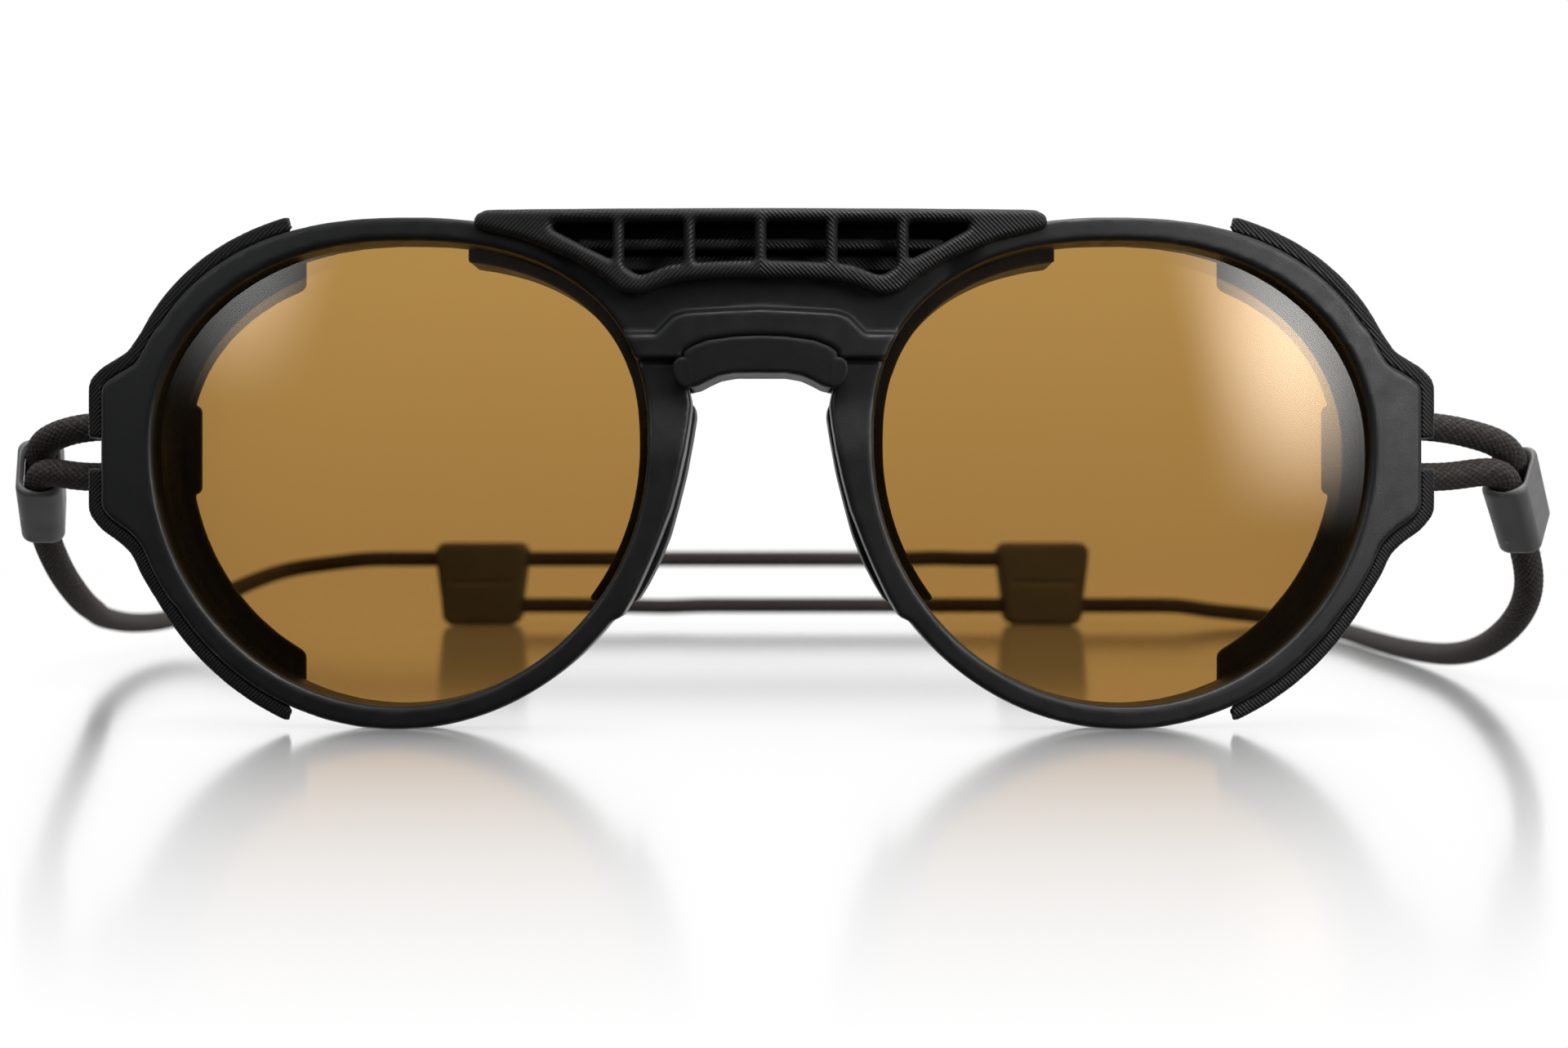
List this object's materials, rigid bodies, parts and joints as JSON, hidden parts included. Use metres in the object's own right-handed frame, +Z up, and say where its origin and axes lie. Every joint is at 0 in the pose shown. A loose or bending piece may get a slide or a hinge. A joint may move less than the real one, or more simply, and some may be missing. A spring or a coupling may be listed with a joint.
{
  "type": "glacier glasses",
  "caption": "Round mountain sunglasses with amber lenses, clip-on side and bridge light shields, and a braided cord loop with rear adjusting sliders instead of arms.",
  "frame": {"origin": "on the table plane, at the middle of the whole piece's width and depth; the middle plane of the glasses is X = 0", "axes": "+X across the face towards the right of someone who looks at the front, +Y from the lenses back to the rear cord, +Z up"},
  "size_m": [0.2213, 0.1747, 0.0557],
  "materials": {
    "frame_nylon": "matte, very fine grain",
    "lens_amber": "polished, faint mirror flash",
    "shield_rubber": "satin with fine ribs",
    "nose_rubber": "matte soft touch",
    "cord_braid": "braided polyester, dull",
    "ferrule_rubber": "matte",
    "slider_rubber": "matte",
    "crimp_metal": "plain pressed metal"
  },
  "bodies": {
    "frame": {"frame_front": "frame_nylon", "lens_left": "lens_amber", "lens_right": "lens_amber", "nose_pad_left": "nose_rubber", "nose_pad_right": "nose_rubber", "bridge_saddle": "nose_rubber"},
    "bridge_guard": {"bridge_shield": "shield_rubber"},
    "side_guard_left": {"side_shield_left": "shield_rubber"},
    "side_guard_right": {"side_shield_right": "shield_rubber"},
    "loop_left": {"cord_loop_left": "cord_braid"},
    "loop_right": {"cord_loop_right": "cord_braid"},
    "strap_left": {"cord_side_left": "cord_braid", "ferrule_left": "ferrule_rubber", "ferrule_crimp_left": "crimp_metal"},
    "strap_right": {"cord_side_right": "cord_braid", "ferrule_right": "ferrule_rubber", "ferrule_crimp_right": "crimp_metal"},
    "tail_left": {"cord_rear_left": "cord_braid", "slider_right": "slider_rubber", "cord_end_crimp_left": "crimp_metal"},
    "tail_right": {"cord_rear_right": "cord_braid", "slider_left": "slider_rubber", "cord_end_crimp_right": "crimp_metal"}
  },
  "joints": [
    {"name": "bridge_guard_lift", "type": "slide", "parent": "frame", "child": "bridge_guard", "axis": [0, 0, 1], "range_m": [0, 0.022], "stiffness_N_per_m": 20},
    {"name": "side_guard_left_pull", "type": "slide", "parent": "frame", "child": "side_guard_left", "axis": [0, 1, 0], "range_m": [0, 0.025], "stiffness_N_per_m": 20, "deforming": ["cord_loop_left"]},
    {"name": "side_guard_right_pull", "type": "slide", "parent": "frame", "child": "side_guard_right", "axis": [0, 1, 0], "range_m": [0, 0.025], "stiffness_N_per_m": 20, "deforming": ["cord_loop_right"]},
    {"name": "cord_pitch_left", "type": "hinge", "parent": "frame", "child": "loop_left", "pos_m": [-0.0708, -0.07372, 0.0304], "axis": [1, 0, 0], "range_deg": [-15, 15], "stiffness_Nm_per_rad": 0.02},
    {"name": "cord_pitch_right", "type": "hinge", "parent": "frame", "child": "loop_right", "pos_m": [0.0708, -0.07372, 0.0304], "axis": [1, 0, 0], "range_deg": [-15, 15], "stiffness_Nm_per_rad": 0.02},
    {"name": "cord_adjust_left", "type": "hinge", "parent": "loop_left", "child": "strap_left", "pos_m": [-0.08, -0.07172, 0.0303], "axis": [0, 0, 1], "range_deg": [-3, 12], "stiffness_Nm_per_rad": 0.02},
    {"name": "cord_adjust_right", "type": "hinge", "parent": "loop_right", "child": "strap_right", "pos_m": [0.08, -0.07172, 0.0303], "axis": [0, 0, 1], "range_deg": [-12, 3], "stiffness_Nm_per_rad": 0.02},
    {"name": "cord_tail_left", "type": "hinge", "parent": "strap_left", "child": "tail_left", "pos_m": [-0.096, 0.08388, 0.0144], "axis": [0, 0, 1], "range_deg": [-12, 3], "stiffness_Nm_per_rad": 0.005},
    {"name": "cord_tail_right", "type": "hinge", "parent": "strap_right", "child": "tail_right", "pos_m": [0.096, 0.08388, 0.0042], "axis": [0, 0, 1], "range_deg": [-3, 12], "stiffness_Nm_per_rad": 0.005}
  ],
  "couplings": [
    {"joint": "cord_pitch_right", "follows": "cord_pitch_left", "ratio": 1},
    {"joint": "cord_adjust_right", "follows": "cord_adjust_left", "ratio": -1},
    {"joint": "cord_tail_left", "follows": "cord_adjust_left", "ratio": -1},
    {"joint": "cord_tail_right", "follows": "cord_adjust_left", "ratio": 1}
  ]
}
